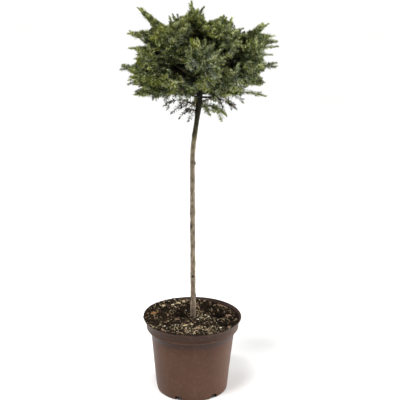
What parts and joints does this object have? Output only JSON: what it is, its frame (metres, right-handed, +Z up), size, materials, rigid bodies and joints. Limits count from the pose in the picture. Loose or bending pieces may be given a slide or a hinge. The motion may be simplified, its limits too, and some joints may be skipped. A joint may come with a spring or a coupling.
{
  "type": "potted serbian spruce",
  "caption": "Small serbian spruce on a slim bare stem, with a flattened globe of radiating needle shoots, in a round tapered nursery pot filled with bark soil.",
  "frame": {"origin": "centre of the pot's flat underside, where it stands", "axes": "+Z up along the stem, -Y towards the viewer of the picture, +X to that viewer's right"},
  "size_m": [0.3472, 0.3404, 0.907],
  "materials": {
    "pot_plastic": "satin",
    "bark_and_peat_soil": "matte",
    "spruce_bark": "matte",
    "spruce_needles": "matte"
  },
  "bodies": {
    "root": {"bough_high_back_left": "spruce_bark", "bough_high_back_right": "spruce_bark", "bough_high_front_left": "spruce_bark", "bough_high_front_right": "spruce_bark", "bough_high_left": "spruce_bark", "bough_high_right": "spruce_bark", "bough_low_back": "spruce_bark", "bough_low_back_left": "spruce_bark", "bough_low_back_right": "spruce_bark", "bough_low_front_left": "spruce_bark", "bough_low_front_right": "spruce_bark", "bough_low_left": "spruce_bark", "bough_low_right": "spruce_bark", "bough_mid_back": "spruce_bark", "bough_mid_front": "spruce_bark", "bough_mid_left": "spruce_bark", "bough_mid_left_back": "spruce_bark", "bough_mid_left_front": "spruce_bark", "bough_mid_right": "spruce_bark", "bough_mid_right_back": "spruce_bark", "bough_mid_right_front": "spruce_bark", "bough_top_back": "spruce_bark", "bough_top_front": "spruce_bark", "bough_top_left": "spruce_bark", "bough_top_right": "spruce_bark", "foliage_hanging_back": "spruce_needles", "foliage_hanging_far_right": "spruce_needles", "foliage_hanging_left": "spruce_needles", "foliage_hanging_left_low": "spruce_needles", "foliage_hanging_right": "spruce_needles", "foliage_high_back_left": "spruce_needles", "foliage_high_back_right": "spruce_needles", "foliage_high_front_left": "spruce_needles", "foliage_high_front_right": "spruce_needles", "foliage_high_left": "spruce_needles", "foliage_high_right": "spruce_needles", "foliage_leader": "spruce_needles", "foliage_low_back": "spruce_needles", "foliage_low_back_left": "spruce_needles", "foliage_low_back_right": "spruce_needles", "foliage_low_front_left": "spruce_needles", "foliage_low_front_right": "spruce_needles", "foliage_low_left": "spruce_needles", "foliage_low_right": "spruce_needles", "foliage_mid_back": "spruce_needles", "foliage_mid_front": "spruce_needles", "foliage_mid_left": "spruce_needles", "foliage_mid_left_back": "spruce_needles", "foliage_mid_left_front": "spruce_needles", "foliage_mid_right": "spruce_needles", "foliage_mid_right_back": "spruce_needles", "foliage_mid_right_front": "spruce_needles", "foliage_top_back": "spruce_needles", "foliage_top_front": "spruce_needles", "foliage_top_left": "spruce_needles", "foliage_top_right": "spruce_needles", "pot": "pot_plastic", "soil": "bark_and_peat_soil", "trunk": "spruce_bark"}
  },
  "joints": []
}
